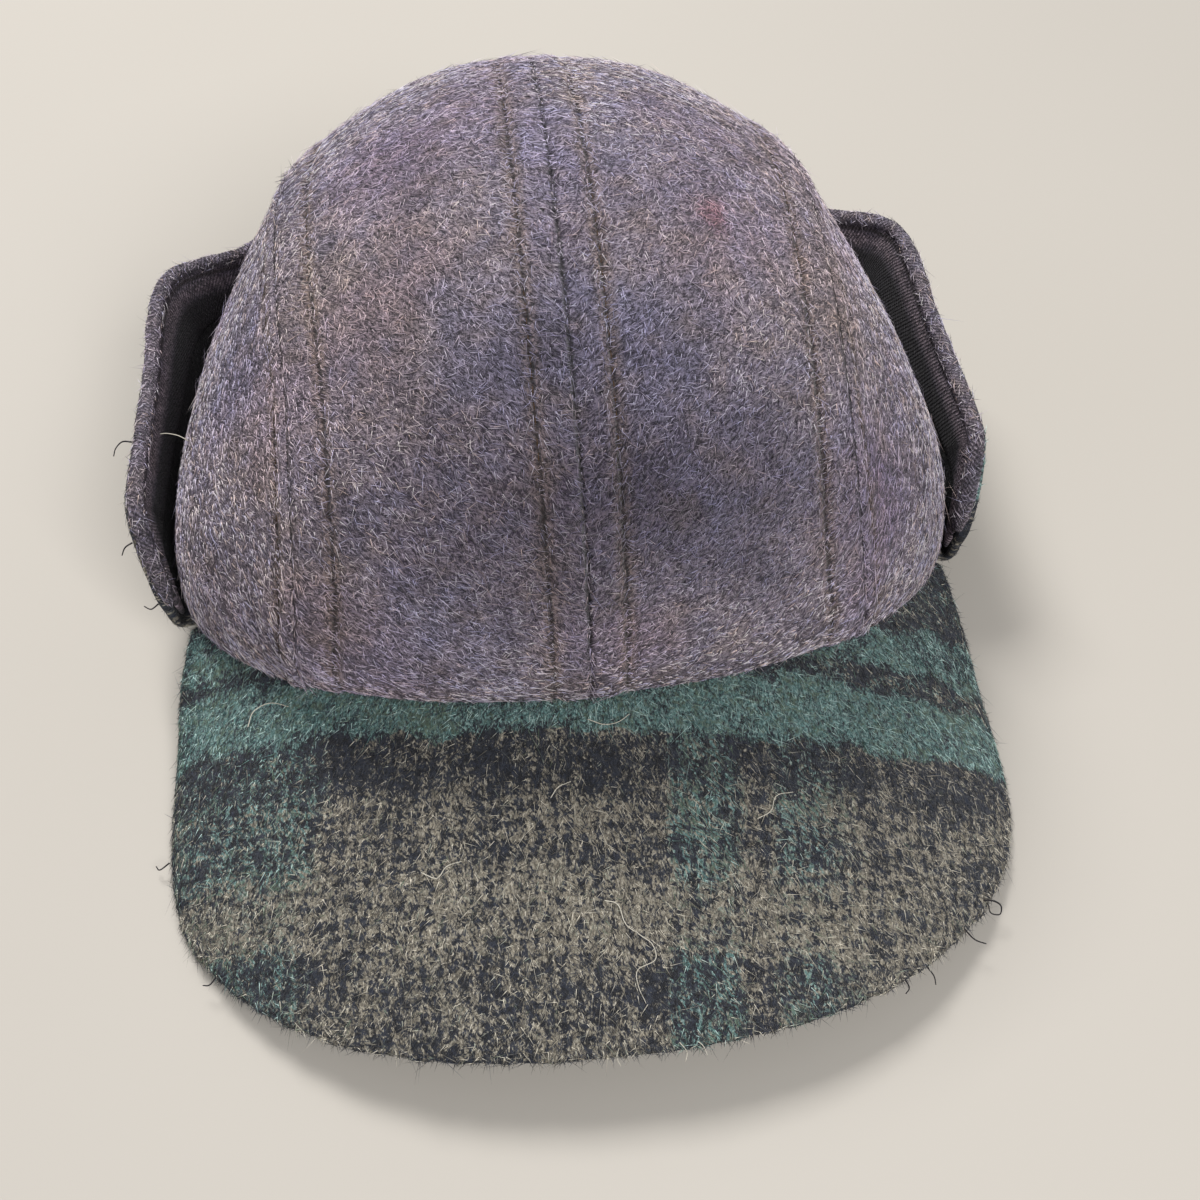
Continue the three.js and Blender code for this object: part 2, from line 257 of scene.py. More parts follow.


# %% [markdown]
# ## The heather of the mauve wool
# The crown's wool is spun from fibres of several colours: purple-grey, blue-grey, pink and tan. From far
# away it reads as mauve, and near by as a mix. It also has broad soft patches, where the dyer's batches
# were blended unevenly or the cap has faded. Each patch is a soft ball in space that leans the colour
# towards its own tint. A few more balls darken it as painted shade, where the crown's front turns away from
# the light. Cloth and loose fibres take both, so they change together.

# %% Patches of colour
TAN_CAST = tint(212, 184, 168)
BLUE_CAST = tint(138, 136, 168)
PURPLE_CAST = tint(158, 136, 164)
PINK_CAST = tint(206, 178, 186)
RED_CAST = tint(212, 134, 140)
# A multiplier for the painted shade and for the wool's random darker tone.
SHADE_AND_DARK_TONE = tint(150, 144, 158)
PATCHES = [
    # place in millimetres, radius, cast, share
    ((-33, -12, 101), 42, TAN_CAST, 0.6),
    ((-60, -25, 74), 22, TAN_CAST, 0.5),
    ((-52, -50, 58), 22, TAN_CAST, 0.4),
    ((26, -14, 103), 24, TAN_CAST, 0.45),
    ((54, -10, 88), 28, TAN_CAST, 0.55),
    ((-12, -29, 101), 24, BLUE_CAST, 0.6),
    ((13, -30, 100), 26, BLUE_CAST, 0.6),
    ((-66, -4, 73), 22, BLUE_CAST, 0.4),
    ((2, 9, 111), 26, BLUE_CAST, 0.5),
    ((-28, -60, 56), 26, BLUE_CAST, 0.4),
    ((-30, 20, 104), 28, PURPLE_CAST, 0.5),
    ((32, -2, 103), 28, PURPLE_CAST, 0.4),
    ((60, -37, 63), 30, PURPLE_CAST, 0.5),
    ((22, -50, 80), 36, BLUE_CAST, 0.45),
    ((50, 28, 93), 34, PINK_CAST, 0.4),
    ((12, -62, 55), 14, PINK_CAST, 0.4),
    ((30, -3, 104), 6, RED_CAST, 0.6),
]
PAINTED_SHADES = [
    # place, radius, multiplier, share of the painted shade on the crown's front. Sideways distances count
    # for less, which makes a wide band.
    ((3, -50, 80), 36, SHADE_AND_DARK_TONE, 0.8),
    ((0, -30, 100), 22, SHADE_AND_DARK_TONE, 0.4),
    ((60, -40, 60), 20, SHADE_AND_DARK_TONE, 0.4),
]
SIDEWAYS = (0.5, 1.0, 1.0)
PATCH_DRIFT = 16.0


def patched(finish, place, colour):
    """The colour with the cap's patches and painted shade laid over it. The place is in millimetres."""
    drift = finish.node("ShaderNodeTexNoise", None, {"Vector": place, "Scale": 0.07, "Detail": 3.0}, "Color")
    drift = finish.reckon("SUBTRACT", drift, (0.5, 0.5, 0.5))
    drift = finish.reckon("MULTIPLY", drift, (PATCH_DRIFT,) * 3)
    moved = finish.reckon("ADD", place, drift)
    for centre, radius, cast, share in PATCHES:
        far = finish.reckon("DISTANCE", moved, centre, "Value")
        colour = finish.mix(far.rise(radius, 0.0) * share, colour, cast, "COLOR")
    squeezed = finish.reckon("MULTIPLY", moved, SIDEWAYS)
    # Painted shade: darker balls where the crown's front and sides turn away from the light.
    for centre, radius, cast, share in PAINTED_SHADES:
        middle = tuple(c * w for c, w in zip(centre, SIDEWAYS))
        far = finish.reckon("DISTANCE", squeezed, middle, "Value")
        colour = finish.mix(far.rise(radius, 0.0) * share, colour, cast, "MULTIPLY")
    wide = finish.noise(place, 0.03, 1.0)
    fine = finish.noise(place, 0.16, 3.0)
    cloudy = finish.noise(moved, 0.07, 3.0)
    colour = finish.mix(cloudy.rise(0.56, 0.36) * 0.3, colour, SHADE_AND_DARK_TONE, "MULTIPLY")
    colour = finish.mix(wide.rise(0.5, 0.7) * 0.3, colour, PURPLE_CAST, "COLOR")
    colour = finish.mix(fine.rise(0.5, 0.72) * 0.35, colour, BLUE_CAST, "COLOR")
    return finish.mix(fine.rise(0.5, 0.28) * 0.35, colour, TAN_CAST, "COLOR")


# %% [markdown]
# ## The mauve cloth
# Under the loose hair lies the woven ground, which is darker, with the slanting ribs of a twill. The
# topstitching runs in rows beside the seams: there the cloth is pulled down, and a dark line of thread
# and shadow shows. Each point of the cloth carries its signed distance to the rows as an attribute, so
# those lines stay crisp whatever the mesh is.

# %% Mauve wool
NAP_SLANT = 42
TWILL_PITCH = 0.95
GROUND = tint(20, 16, 24)
MID_WOOL = tint(84, 74, 88)
PALE_WOOL = tint(180, 166, 178)
# The thread's dark colour together with painted shadow in its groove.
THREAD_AND_GROOVE_SHADOW = tint(38, 28, 26)
WARM_RUB = tint(168, 140, 112)
# Painted shade for the depth of the facing, below the rolled edge.
PAINTED_DEPTH_SHADE = tint(16, 13, 16)
RIB_PITCH = 1.05
RIB_SLANT = 0.6


def mauve_wool(name, with_seams):
    finish = Finish(name)
    across, along, depth = finish.parts(finish.attribute("cloth"))
    place = finish.node(
        "ShaderNodeVectorMath",
        {"operation": "SCALE"},
        {0: finish.node("ShaderNodeTexCoord", output="Object"), "Scale": 1 / MM},
    )
    nap = nap_of(finish, across, along, NAP_SLANT)
    turn = math.radians(NAP_SLANT)
    slanted = across * math.cos(turn) - along * math.sin(turn)
    broken = finish.noise(finish.vector(across / 0.8, along / 0.8, 2.0), 1.0, 1.0)
    rib = (slanted + broken * 0.5).stripes(TWILL_PITCH, 0.55, 0.35)
    speckle = finish.noise(place, 2.2, 2.0, 0.7)
    light = (nap * 1.5 + rib * 0.25 + (speckle - 0.5) * 1.2).rise(0.2, 0.9)
    colour = finish.mix(light, GROUND, MID_WOOL)
    colour = finish.mix((nap + speckle * 0.6).rise(0.85, 1.25) * 0.85, colour, PALE_WOOL)
    colour = patched(finish, place, colour)
    height = nap * 0.6 + rib * 0.25
    if with_seams:
        centre_row, side_row, rim = finish.parts(finish.attribute("rows"))
        centre_join, side_join, _ = finish.parts(finish.attribute("joins"))
        wobble = (finish.noise(place, 0.8, 2.0) - 0.5) * 1.1
        broken = (finish.noise(place, 0.45, 2.0) + speckle * 0.5).rise(0.45, 0.75)
        rows = abs(centre_row + wobble).rise(0.6, 0.05) + abs(side_row + wobble).rise(0.6, 0.05)
        rows = rows * (broken * 0.6 + 0.4)
        joins = (centre_join + wobble * 0.4).rise(0.8, 0.1) + (side_join + wobble * 0.4).rise(0.8, 0.1)
        beside = abs(centre_row).rise(3.0, 0.5) + abs(side_row).rise(3.0, 0.5)
        colour = finish.mix(beside * speckle * 0.8, colour, WARM_RUB, "COLOR")
        # Dark thread and painted shadow along the rows and the joins.
        colour = finish.mix((rows + joins) * (speckle * 0.8 + 0.35), colour, THREAD_AND_GROOVE_SHADOW)
        height = height - rows * 0.8 - joins * 0.8
        colour = finish.mix(rim.rise(12.0, 2.0) * 0.3, colour, PINK_CAST, "COLOR")
    else:
        ribs = (along + across * RIB_SLANT + (speckle - 0.5) * 0.6).stripes(RIB_PITCH, 0.5, 0.4)
        colour = finish.mix((1 - ribs) * 0.7, colour, GROUND)
        height = height + ribs * 0.5
        # The stitch groove beside the roll: dark thread and painted shadow.
        groove = depth.band(1.9, 3.1, 0.5)
        colour = finish.mix(depth.band(3.6, 6.8, 1.0) * 0.5, colour, PINK_CAST, "COLOR")
        colour = finish.mix(groove * 0.8, colour, THREAD_AND_GROOVE_SHADOW)
        # Painted shade: the facing darkens with depth below the free edge, where shadow falls between flap
        # and crown.
        colour = finish.mix(depth.rise(5.0, 9.0) * 0.93, colour, PAINTED_DEPTH_SHADE)
    return finish.wool(colour, height=height, depth=0.8)


crown_wool = mauve_wool("mauve_wool", True)
trim_wool = mauve_wool("mauve_wool_trim", False)
print("mauve wool has", len(crown_wool.node_tree.nodes), "nodes")

# %% [markdown]
# ## The plaid
# A plaid is two sets of yarns, each with its own run of colours. In the weft, across the peak, come a
# green band, a black line, a teal band, a navy one, and then tan and navy in turn, four yarns of each.
# The warp alternates too, with teal in place of tan in some columns. A twill shows warp and weft by
# turns in slanting steps, which makes the broken checks. So the sum below chooses the warp or the weft,
# and each says how light it is there and how teal.

# %% The bands of both sets of yarns
# The weft runs a little aslant. WEFT_SHIFT moves it, and WEFT_BEND bows it, a share of the width squared.
PLAID_TURN = 0.115
WEFT_SHIFT = 2.0
WEFT_BEND = 0.00062
CHECK = 3.0
TWILL_STEP = 1.5
WEFT_SOLID = [
    # from, to, soft edge in millimetres, lightness
    (-46.7, -35.5, 1.6, 0.5),
    (-66.0, -52.0, 2.2, 0.7),
]
WEFT_CHECKED = [
    # from, to, soft edge, lightness of the light yarns
    (-88.0, -78.5, 1.6, 0.72),
    (-95.0, -90.5, 1.2, 0.7),
    (-110.0, -95.0, 2.5, 0.82),
    (-130.0, -112.0, 2.5, 0.4),
]
WEFT_PLAIN_TAN = [(-109.0, -95.0, 3.0, 0.42)]
WEFT_QUIET = [
    # from, to, soft edge, how much the warp is hidden
    (-78.0, -66.0, 2.5, 0.55),
    (-52.0, -46.7, 0.8, 0.7),
    (-135.0, -111.0, 2.5, 0.3),
]
WARP_CHECKED = [
    (-92.0, -56.0, 4.0, 0.55),
    (-54.0, -22.0, 2.0, 0.75),
    (-21.0, 6.0, 2.0, 0.85),
    (6.0, 12.0, 1.2, 0.3),
    (12.0, 27.0, 1.5, 0.95),
    (27.0, 33.0, 1.2, 0.35),
    (33.0, 52.0, 1.8, 0.9),
    (54.0, 92.0, 2.5, 0.65),
]
WARP_TEAL = [
    (-92.0, -58.0, 4.0, 0.8),
    (12.0, 26.5, 2.0, 0.8),
    (33.0, 44.0, 2.0, 0.55),
    (44.0, 51.0, 2.0, 0.3),
]


def bands(value, table):
    total = 0.0
    for low, high, soft, amount in table:
        total = value.band(low, high, soft) * amount + total
    return total


# %% Plaid wool
COAL = tint(36, 37, 42)
NAVY = tint(62, 67, 80)
DIM_TEAL = tint(52, 84, 82)
TEAL = tint(124, 168, 164)
BRIGHT_TEAL = tint(214, 244, 238)
GREEN = tint(112, 128, 100)
DIM_TAN = tint(100, 94, 86)
TAN = tint(178, 168, 148)
PALE_TAN = tint(240, 231, 212)
LOST_IN_SHADE = tint(14, 13, 15)


def plaid_wool(name, is_cloth):
    """The spot attribute holds each point's place on the plaid, in millimetres."""
    finish = Finish(name)
    spot = finish.attribute("spot")
    x, y, z = finish.parts(spot)
    turned = finish.vector(y, x, z + 40)
    drift_x = (finish.noise(spot, 0.45, 2.0) - 0.5) * 2.4 + (finish.noise(spot, 0.11) - 0.5) * 6
    drift_y = (finish.noise(turned, 0.45, 2.0) - 0.5) * 2.8 + (finish.noise(turned, 0.11) - 0.5) * 9
    warp = x - (y + 90) * PLAID_TURN + drift_x
    weft = y + x * PLAID_TURN + WEFT_SHIFT - x * x * WEFT_BEND + drift_y
    checks_x = warp.stripes(CHECK, 0.5, 0.35)
    checks_y = weft.stripes(CHECK, 0.5, 0.35)
    quiet = bands(weft, WEFT_QUIET) + weft.rise(-36.0, -34.5) * 0.85
    warp_light = bands(warp, WARP_CHECKED) * checks_x * (1 - quiet)
    solid = bands(weft, WEFT_SOLID)
    weft_light = solid + bands(weft, WEFT_CHECKED) * checks_y
    shows_warp = (warp + weft).stripes(TWILL_STEP, 0.5, 0.35) * (1 - solid.rise(0.1, 0.6) * 0.75)
    plain_tan = bands(weft, WEFT_PLAIN_TAN)
    light = weft_light + (warp_light - weft_light) * shows_warp + plain_tan * 0.25
    teal_weft = weft.rise(-67.5, -65.5)
    teal_warp = bands(warp, WARP_TEAL)
    teal = (teal_weft + (teal_warp - teal_weft) * shows_warp) * (1 - solid) + solid.rise(0.05, 0.3)
    teal = (teal + teal_warp * 0.45) * (1 - plain_tan * 1.7)
    speckle = finish.noise(finish.vector(x / 0.45, y / 0.8, z / 0.6), 1.0, 2.0, 0.75)
    hue = finish.noise(spot, 0.7, 3.0, 0.7)
    rubbed = finish.noise(spot, 0.09, 3.0) - 0.5
    clumps = finish.noise(spot, 0.9, 2.0, 0.6) - 0.5
    blotches = finish.noise(turned, 0.3, 2.0, 0.6) - 0.5
    share = light * 0.72 + rubbed * 0.7 + clumps * 0.7 + blotches * 0.9 - 0.02
    if is_cloth:
        nap = nap_of(finish, x, y, 8)
        share = share + (speckle - 0.5) * 1.2 + (nap - 0.3) * 0.5
        bright = speckle
    else:
        own, other, third = finish.parts(finish.attribute("tone"))
        share = share + (own - 0.48) * 1.15
        bright = other
        hue = hue + (third - 0.5) * 0.45
    teal_tone = finish.ramp(bright * 1.6 - 0.3, [(0.1, DIM_TEAL), (0.5, TEAL), (0.9, BRIGHT_TEAL)])
    teal_tone = finish.mix((hue + rubbed * 0.4).rise(0.5, 0.66) * 0.75, teal_tone, GREEN)
    tan_tone = finish.ramp(bright * 1.6 - 0.3, [(0.1, DIM_TAN), (0.5, TAN), (0.9, PALE_TAN)])
    lit = finish.mix((teal + (hue - 0.5) * 2.2).rise(0.15, 0.9), tan_tone, teal_tone)
    dark = finish.mix(hue.rise(0.4, 0.6), COAL, NAVY)
    colour = finish.mix(share.rise(0.26, 0.6), dark, lit)
    if is_cloth:
        inside, _, _ = finish.parts(finish.attribute("inside"))
        colour = finish.mix((nap * 0.8 + speckle * 0.5).rise(0.9, 0.3) * 0.6 + 0.3, colour, COAL)
        colour = finish.mix(inside, colour, LOST_IN_SHADE)
        return finish.wool(colour, height=nap * 0.7, depth=0.9)
    return finish.wool(colour, 0.9)


plaid_cloth = plaid_wool("plaid_wool", True)
plaid_fibres = plaid_wool("plaid_fibres", False)
print("plaid wool has", len(plaid_cloth.node_tree.nodes), "nodes")

# %% [markdown]
# ## From a plain solid to soft cloth
# Each solid of the frame is a coarse shell with flat facets. A copy of it is merged into one skin, its
# triangles are joined back into four-sided faces, and Subdivision Surface rounds it. That keeps the
# cloth exactly where the frame has it, and folds its cut edges over as a sewn edge is. Edges that meet
# at a seam are creased first, because rounding would open a gap between the two panels.

# %% Helpers that copy and soften a node
CAP_MIDDLE = np.array([0.0, 30.0, 10.0]) * MM


def only(piece):
    """Selects one object and nothing else."""
    bpy.ops.object.select_all(action="DESELECT")
    piece.select_set(True)
    bpy.context.view_layer.objects.active = piece


def in_edit_mode(piece, *steps):
    """Runs operators on the whole of a mesh in edit mode."""
    only(piece)
    bpy.ops.object.mode_set(mode="EDIT")
    for operator, values in steps:
        bpy.ops.mesh.select_all(action="SELECT")
        operator(**values)
    bpy.ops.object.mode_set(mode="OBJECT")


def dress(piece, material):
    """Gives a piece its one material, and its place in the part's table."""
    piece.data.materials.clear()
    piece.data.materials.append(material)
    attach(piece, "root")
    return piece


def new_piece(name, mesh, material):
    piece = bpy.data.objects.new(name, mesh)
    bpy.context.scene.collection.objects.link(piece)
    return dress(piece, material)


def merged_copy(node, name, material):
    piece = new_piece(name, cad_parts[node].data.copy(), material)
    in_edit_mode(
        piece,
        (bpy.ops.mesh.remove_doubles, {"threshold": 0.001 * MM}),
        (bpy.ops.mesh.tris_convert_to_quads, {"face_threshold": math.pi, "shape_threshold": math.pi}),
    )
    return piece


def soften(piece, levels):
    """Rounds the piece for good."""
    only(piece)
    smooth = piece.modifiers.new("round", "SUBSURF")
    smooth.levels = levels
    smooth.render_levels = levels
    bpy.ops.object.modifier_apply(modifier=smooth.name)
    bpy.ops.object.shade_smooth()


def read(collection, name, width, kind=float):
    """One value, or several, of every item of a mesh collection as an array."""
    flat = np.empty(len(collection) * width, dtype=kind)
    collection.foreach_get(name, flat)
    return flat.reshape(-1, width)


def points_of(piece):
    return read(piece.data.vertices, "co", 3)


def normals_of(piece):
    return read(piece.data.vertices, "normal", 3)


def set_points(piece, points):
    piece.data.vertices.foreach_set("co", points.ravel())
    piece.data.update()


def keep(piece, name, values):
    """Stores three numbers for each point of the mesh, in millimetres."""
    made = piece.data.attributes.new(name, "FLOAT_VECTOR", "POINT")
    made.data.foreach_set("vector", np.asarray(values, dtype=np.float32).ravel())


def lumps(points, size, seed):
    """Soft unevenness, about -1 to 1, with lumps of that size in metres."""
    shift = Vector((seed, 0, 0))
    return np.array([noise.noise(Vector(p) / size + shift) for p in points])


def unit(vectors):
    return vectors / (np.linalg.norm(vectors, axis=-1, keepdims=True) + 1e-12)


def dot(first, second):
    return (first * second).sum(axis=1)


def away_from_cap(points):
    """The level directions from the cap's middle to the points."""
    return unit((points - CAP_MIDDLE) * [1, 1, 0])


def facing_out(points, normals):
    """How far each face or point looks away from the cap's middle. It is negative inside the cap."""
    return dot(points - CAP_MIDDLE, normals)


def above_floor(points):
    points[:, 2] = np.maximum(points[:, 2], 0)
    return points


def bump_at(far, width):
    return np.exp(-((far / width) ** 2))


# %% [markdown]
# ## Where the seams run
# The crown's two middle strips meet at the centre seam, and each meets its side panel at a side seam.
# The stitching, the ridges and the twill all follow those lines, so they are read from the frame: the
# points of a strip that lie on the middle plane, or that nearly touch the side panel. Each seam is then
# made a smooth line with a point at least every half millimetre.

# %% Seam lines
LINE_STEP = 0.5 * MM
NEAR_SEAM = 1.9 * MM
WALL_PAIR = 3.2 * MM
MIDDLE_PLANE = 0.4 * MM


def tree_of(points):
    tree = kdtree.KDTree(len(points))
    for index, point in enumerate(points):
        tree.insert(point, index)
    tree.balance()
    return tree


def outer_only(points):
    """Of the points across the wall from each other, those further from the cap's middle."""
    tree = tree_of(points)
    reach = np.linalg.norm(points - CAP_MIDDLE, axis=1)
    kept = [i for i, p in enumerate(points)
            if reach[i] >= max(reach[j] for _, j, _ in tree.find_range(p, WALL_PAIR)) - 1e-9]
    return points[kept]


def smooth_line(points, step):
    """A Catmull-Rom line through ordered points, with a point about every step metres."""
    ends = np.vstack([2 * points[0] - points[1], points, 2 * points[-1] - points[-2]])
    line = []
    for before, start, end, after in zip(ends, ends[1:], ends[2:], ends[3:]):
        count = max(1, round(np.linalg.norm(end - start) / step))
        for t in np.arange(count) / count:
            bend = 2 * before - 5 * start + 4 * end - after
            swing = 3 * start - before - 3 * end + after
            line.append((2 * start + (end - before) * t + bend * t**2 + swing * t**3) / 2)
    return np.array(line + [points[-1]])


def front_to_back(points):
    """Orders the points of a seam by their turn about the cap's middle, seen from the side."""
    turn = np.arctan2(points[:, 2] - CAP_MIDDLE[2], -(points[:, 1] - CAP_MIDDLE[1]))
    return points[np.argsort(turn)]


seam_lines = {}
for side_name in SIDES:
    strip_points = points_of(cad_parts[f"crown_strip_{side_name}"])
    strip_points = np.unique(np.round(strip_points, 6), axis=0)
    middle = outer_only(strip_points[abs(strip_points[:, 0]) < MIDDLE_PLANE])
    panel_tree = tree_of(points_of(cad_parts[f"crown_side_{side_name}"]))
    beside = np.array([p for p in strip_points if panel_tree.find(p)[2] < NEAR_SEAM])
    seam_lines[f"centre_{side_name}"] = smooth_line(front_to_back(middle), LINE_STEP)
    seam_lines[f"side_{side_name}"] = smooth_line(front_to_back(outer_only(beside)), LINE_STEP)
seam_trees = {name: tree_of(line) for name, line in seam_lines.items()}
for name, line in seam_lines.items():
    print(name, "has", len(line), "points")


def reach_of(line):
    """How far along a line each of its points is."""
    steps = np.linalg.norm(np.diff(line, axis=0), axis=1)
    return np.concatenate([[0], np.cumsum(steps)])


def place_on(line, tree, points):
    """How far each point is from a line, and how far along it, both in millimetres."""
    found = [tree.find(p) for p in points]
    index = np.array([f[1] for f in found])
    ahead = unit(np.gradient(line, axis=0))[index]
    beyond = dot(points - line[index], ahead)
    return np.array([f[2] for f in found]) / MM, (reach_of(line)[index] + beyond) / MM


def measure(points, seam):
    return place_on(seam_lines[seam], seam_trees[seam], points)


# %% [markdown]
# ## The crown's panels
# Under the topstitching lie the seam allowances, the folded-in edges of both panels. They lift the cloth
# beside a seam into a low flat ridge, and each row of stitches pulls it down into a groove. All points
# of the outer face move along their normals by a height that depends only on their distance to the
# seams, and a slow noise adds the soft unevenness of steamed wool.

# %% Crown panels
CENTRE_ROW = 7.0
SIDE_ROW = 8.5
OUTER_ROW = 4.5
NO_SEAM = 60.0
RIDGE = 0.5 * MM
GROOVE = 0.5 * MM
GROOVE_WIDTH = 0.75
JOIN_WIDTH = 0.7
UNEVEN = 0.4 * MM
UNEVEN_SIZE = 22 * MM
SEAM_EDGE = 0.75
CLOSING = 0.12 * MM
CLOSING_WIDTH = 1.5
# The nap of each panel is read at another place, so that no two look the same.
SIDE_APART = 40
LEFT_APART = 400
PANEL_LEVELS = {"strip": 3, "side": 2}
FRONT_RIM = ([-62, -20, 50], [33, 14, 2.7])


def crease_seams(piece, seams):
    """Keeps the edges along the seams sharp."""
    far = np.min([measure(points_of(piece), seam)[0] for seam in seams], axis=0)
    ends = read(piece.data.edges, "vertices", 2, np.int32)
    sharp = (far[ends] < SEAM_EDGE).all(axis=1).astype(np.float32)
    made = piece.data.attributes.new("crease_edge", "FLOAT", "EDGE")
    made.data.foreach_set("value", sharp)


def seam_height(far, row):
    """How much the cloth stands up at that distance from a seam that has a row of stitches."""
    ridge = 1 / (1 + np.exp((far - row) / 0.6))
    return ridge * RIDGE - (bump_at(far - row, GROOVE_WIDTH) + bump_at(far, JOIN_WIDTH) * 0.8) * GROOVE


def crown_panel(kind, side_name):
    node = f"crown_{kind}_{side_name}"
    piece = merged_copy(node, node + "_cloth", crown_wool)
    side_seam = f"side_{side_name}"
    centre_seam = f"centre_{side_name}"
    is_strip = kind == "strip"
    crease_seams(piece, [side_seam, centre_seam] if is_strip else [side_seam])
    soften(piece, PANEL_LEVELS[kind])
    points = points_of(piece)
    normals = normals_of(piece)
    side_far, side_along = measure(points, side_seam)
    outside = facing_out(points, normals) > 0
    side_row = SIDE_ROW if is_strip else OUTER_ROW
    height = seam_height(side_far, side_row) + lumps(points, UNEVEN_SIZE, 3.0) * UNEVEN
    centre_far = np.full(len(points), NO_SEAM)
    centre_along = side_along
    if is_strip:
        centre_far, centre_along = measure(points, centre_seam)
        height = height + seam_height(centre_far, CENTRE_ROW)
        points[:, 0] -= SIDES[side_name] * CLOSING * bump_at(centre_far, CLOSING_WIDTH)
    set_points(piece, points + normals * (height * outside)[:, None])
    across = centre_far if is_strip else side_far + SIDE_APART
    apart = LEFT_APART if side_name == "left" else 0
    keep(piece, "cloth", np.column_stack([across, centre_along + apart, np.zeros(len(points))]))
    rim = points[:, 2] / MM - np.interp(points[:, 1] / MM, *FRONT_RIM)
    keep(piece, "rows", np.column_stack([centre_far - CENTRE_ROW, side_far - side_row, np.maximum(rim, 0)]))
    keep(piece, "joins", np.column_stack([centre_far, side_far, rim]))
    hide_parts(node)
    return piece


crown = {}
for side_name in SIDES:
    for kind in ("strip", "side"):
        crown[kind, side_name] = crown_panel(kind, side_name)
        print(crown[kind, side_name].name, len(crown[kind, side_name].data.polygons), "faces")

# %% [markdown]
# ## The peak
# The peak is a stiff curved plate under a brushed plaid. Its cloth is thick and its edge soft and a
# little ragged. The same copy-and-round way suits it, with a fine noise that frays the outline.

# %% Peak
FRAY = 0.55 * MM
FRAY_SIZE = 2.2 * MM
FRAY_FROM = 40
FRAY_FULL = 100
PEAK_UNEVEN = 0.4 * MM
PEAK_UNEVEN_SIZE = 14 * MM


def in_millimetres(points):
    return points / MM


peak = merged_copy("peak", "peak_cloth", plaid_cloth)
soften(peak, 2)
peak_points = points_of(peak)
toward_edge = np.clip((-peak_points[:, 1] / MM - FRAY_FROM) / (FRAY_FULL - FRAY_FROM), 0, 1)
fray = lumps(peak_points, FRAY_SIZE, 7.0) * FRAY * toward_edge
fray = fray + lumps(peak_points, PEAK_UNEVEN_SIZE, 1.0) * PEAK_UNEVEN
peak_points = above_floor(peak_points + normals_of(peak) * fray[:, None])
set_points(peak, peak_points)
keep(peak, "spot", in_millimetres(peak_points))
keep(peak, "inside", np.zeros((len(peak_points), 3)))
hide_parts("peak")
print("peak", len(peak.data.polygons), "faces")

# %% [markdown]
# ## The ear flaps
# The flap is the same plaid, cut so that its teal band runs along the free edge. A strip of mauve wool is
# sewn inside that edge. Both come from their solids in the same way as the crown.

# %% Flap and facing
FLAP_UNEVEN = 0.35 * MM
FLAP_UNEVEN_SIZE = 16 * MM
HEM_HEIGHT = 3 * MM
FLAP_ROUND = 95.0
TEAL_BELOW = 97.0
FACING_STITCH = 3.6
FACING_SUNK = 0.5 * MM
EDGE_STEP = 0.5 * MM
EDGE_FACING = 0.3
EDGE_ASLANT = 0.5
INSIDE_FROM = 5.0
INSIDE_FULL = 11.0


def plaid_on_flap(points):
    around = np.arctan2(points[:, 0], points[:, 1] - CAP_MIDDLE[1]) * FLAP_ROUND
    return np.column_stack([around, points[:, 2] / MM - TEAL_BELOW, points[:, 0] / MM * 0.2])


def flap_edge():
    """The line along the top of the facing, from the left wing round the back to the right one."""
    guide = merged_copy("flap_facing", "edge_guide", trim_wool)
    centres = read(guide.data.polygons, "center", 3)
    normals = read(guide.data.polygons, "normal", 3)
    bpy.data.objects.remove(guide)
    is_top = (normals[:, 2] > EDGE_FACING) & (abs(dot(normals, away_from_cap(centres))) < EDGE_ASLANT)
    centres = centres[is_top]
    turn = np.arctan2(-centres[:, 0], centres[:, 1] - CAP_MIDDLE[1])
    return smooth_line(centres[np.argsort(-turn)], EDGE_STEP)


edge_line = flap_edge()
edge_tree = tree_of(edge_line)
print("the free edge is", round(reach_of(edge_line)[-1] / MM), "mm long")


def keep_trim(piece):
    """Stores how far each point is from the free edge, and how far along it."""
    far, along = place_on(edge_line, edge_tree, points_of(piece))
    keep(piece, "cloth", np.column_stack([far, along, far]))
    return far


ear_flap = merged_copy("ear_flap", "ear_flap_cloth", plaid_cloth)
soften(ear_flap, 2)
flap_points = points_of(ear_flap)
flap_lift = lumps(flap_points, FLAP_UNEVEN_SIZE, 2.0) * FLAP_UNEVEN * (flap_points[:, 2] > HEM_HEIGHT)
flap_points = above_floor(flap_points + normals_of(ear_flap) * flap_lift[:, None])
set_points(ear_flap, flap_points)
keep(ear_flap, "spot", plaid_on_flap(flap_points))
faces_in = np.clip(-dot(normals_of(ear_flap), away_from_cap(flap_points)) * 3, 0, 1)
flap_depth = np.array([edge_tree.find(p)[2] for p in flap_points]) / MM
shade_in = faces_in * np.clip((flap_depth - INSIDE_FROM) / (INSIDE_FULL - INSIDE_FROM), 0, 1)
keep(ear_flap, "inside", np.column_stack([shade_in] * 3))
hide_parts("ear_flap")

facing = merged_copy("flap_facing", "flap_facing_cloth", trim_wool)
soften(facing, 2)
facing_far = keep_trim(facing)
sunk = bump_at(facing_far - FACING_STITCH, 0.8) * FACING_SUNK
set_points(facing, points_of(facing) - normals_of(facing) * sunk[:, None])
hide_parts("flap_facing")
print("flap and facing", len(ear_flap.data.polygons) + len(facing.data.polygons), "faces")

# %% [markdown]
# ## The rolled edge
# The facing is rolled over the top of the flap into a soft cord of cloth, and the slanting ribs of its
# twill show on it. A curve is laid along the edge and given a thickness, then turned into a mesh. The
# ribs are pushed out of it: their height depends on the place along the edge and the turn round it.

